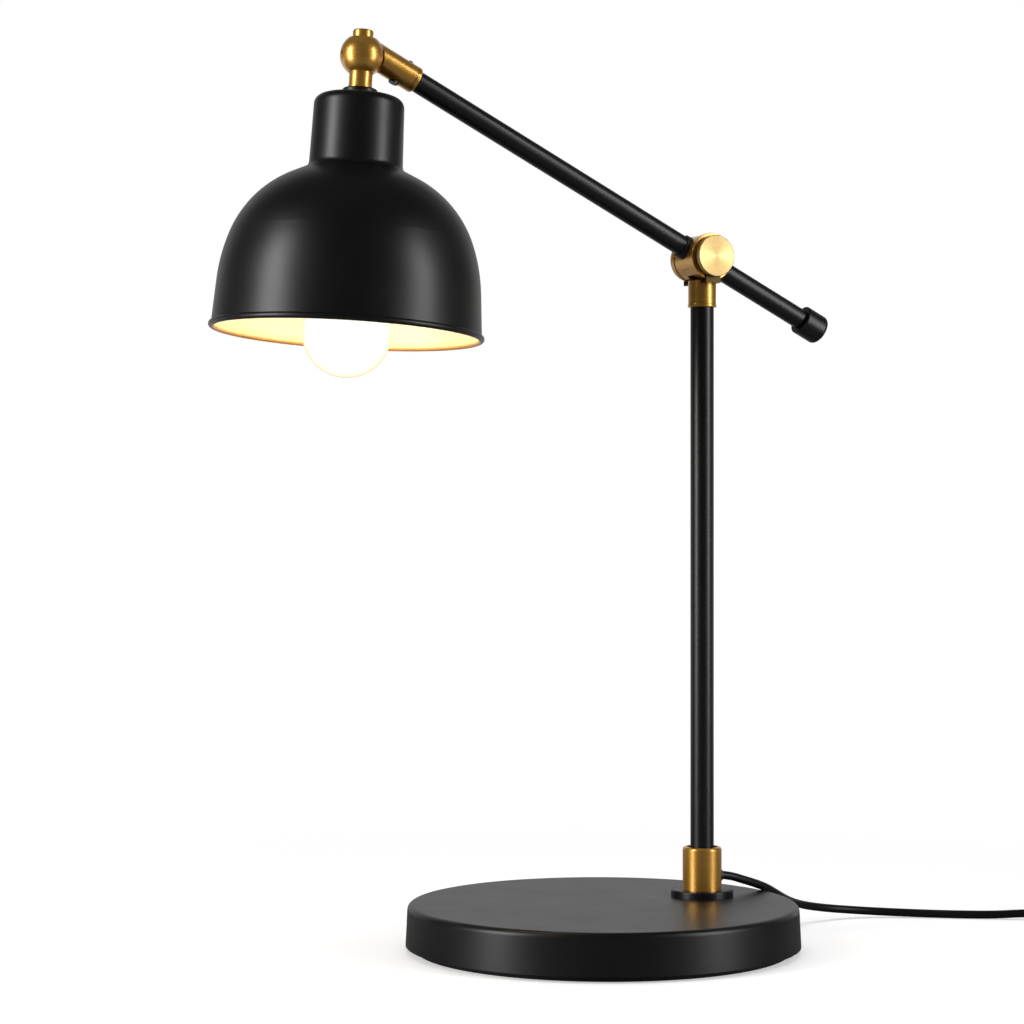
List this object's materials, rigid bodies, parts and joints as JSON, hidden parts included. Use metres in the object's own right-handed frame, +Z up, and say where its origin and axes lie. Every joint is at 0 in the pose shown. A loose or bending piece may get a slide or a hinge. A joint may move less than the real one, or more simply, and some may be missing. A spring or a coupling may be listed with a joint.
{
  "type": "desk lamp",
  "caption": "Dome shade desk lamp: weighted round base, offset pole, tilting arm in a brass clamp, and a tilting shade on a brass knuckle.",
  "frame": {"origin": "centre of the underside of the foot pad, on the surface the lamp stands on", "axes": "+Z up; +X from the base's centre to the pole, so that the arm and shade reach out towards -X"},
  "size_m": [0.5737, 0.2628, 0.4753],
  "materials": {
    "satin_black": "satin black powder coat",
    "satin_brass": "turned satin brass",
    "black_steel": "blackened steel",
    "zinc_steel": "zinc plated",
    "cast_iron": "rough cast",
    "rubber": "matte",
    "black_plastic": "fine moulded grain",
    "cord_jacket": "smooth soft jacket",
    "contact_brass": "bright",
    "bulb_metal": "rolled thread",
    "bulb_glass": "frosted"
  },
  "bodies": {
    "base": {"base_cover": "satin_black", "base_weight": "cast_iron", "bottom_plate": "zinc_steel", "bottom_screws": "zinc_steel", "foot_pad": "rubber", "base_nipple": "zinc_steel", "base_washer": "zinc_steel", "base_nut": "zinc_steel", "base_flange": "satin_black", "base_sleeve": "satin_brass", "cord_bush": "black_plastic", "pole": "satin_black", "pole_foot": "zinc_steel", "pole_head": "zinc_steel", "swivel_clip": "black_steel", "pole_flex": "cord_jacket", "cord_tube": "cord_jacket", "cord_coil": "cord_jacket", "plug_lead": "cord_jacket", "coil_tie": "cord_jacket", "inline_switch": "black_plastic", "plug": "black_plastic", "plug_pins": "contact_brass"},
    "swivel": {"swivel_socket": "satin_brass", "clamp_stirrup": "black_steel"},
    "arm": {"clamp_barrel": "satin_brass", "arm_bushes": "black_plastic", "arm_tube": "satin_black", "arm_end_cap": "satin_black", "rear_pivot_cap": "satin_brass", "ferrule": "satin_brass", "knuckle_tongue": "satin_brass", "ferrule_screws": "black_steel", "arm_flex": "cord_jacket"},
    "clamp_knob": {"clamp_knob": "satin_brass"},
    "head": {"knuckle_barrel": "satin_brass", "knuckle_pin": "zinc_steel", "knuckle_screw": "black_steel", "top_button": "satin_brass", "shade_neck": "satin_brass", "shade_washer": "satin_black", "shade_nipple": "zinc_steel", "shade_nut": "zinc_steel", "head_flex": "cord_jacket", "shade": "satin_black", "lampholder_body": "black_plastic", "lampholder_shell": "contact_brass", "lampholder_contact": "contact_brass", "bulb_cap": "bulb_metal", "bulb_globe": "bulb_glass"},
    "rocker": {"switch_rocker": "black_plastic"}
  },
  "joints": [
    {"name": "swivel", "type": "hinge", "parent": "base", "child": "swivel", "pos_m": [0.0616, 0, 0.352], "axis": [0, 0, 1], "range_deg": [-170, 170]},
    {"name": "arm_tilt", "type": "hinge", "parent": "swivel", "child": "arm", "pos_m": [0.0616, 0, 0.3702], "axis": [0, 1, 0], "range_deg": [-57, 6]},
    {"name": "clamp_knob_turn", "type": "hinge", "parent": "arm", "child": "clamp_knob", "pos_m": [0.0616, 0, 0.3702], "axis": [0, 1, 0], "range_deg": [0, 270]},
    {"name": "head_tilt", "type": "hinge", "parent": "arm", "child": "head", "pos_m": [-0.13934, 0, 0.46227], "axis": [0, 1, 0], "range_deg": [-12, 22]},
    {"name": "switch_rocker", "type": "hinge", "parent": "base", "child": "rocker", "pos_m": [0.2954, -0.0382, 0.0128], "axis": [0.5078, 0.8615, 0], "range_deg": [-14, 0]}
  ]
}
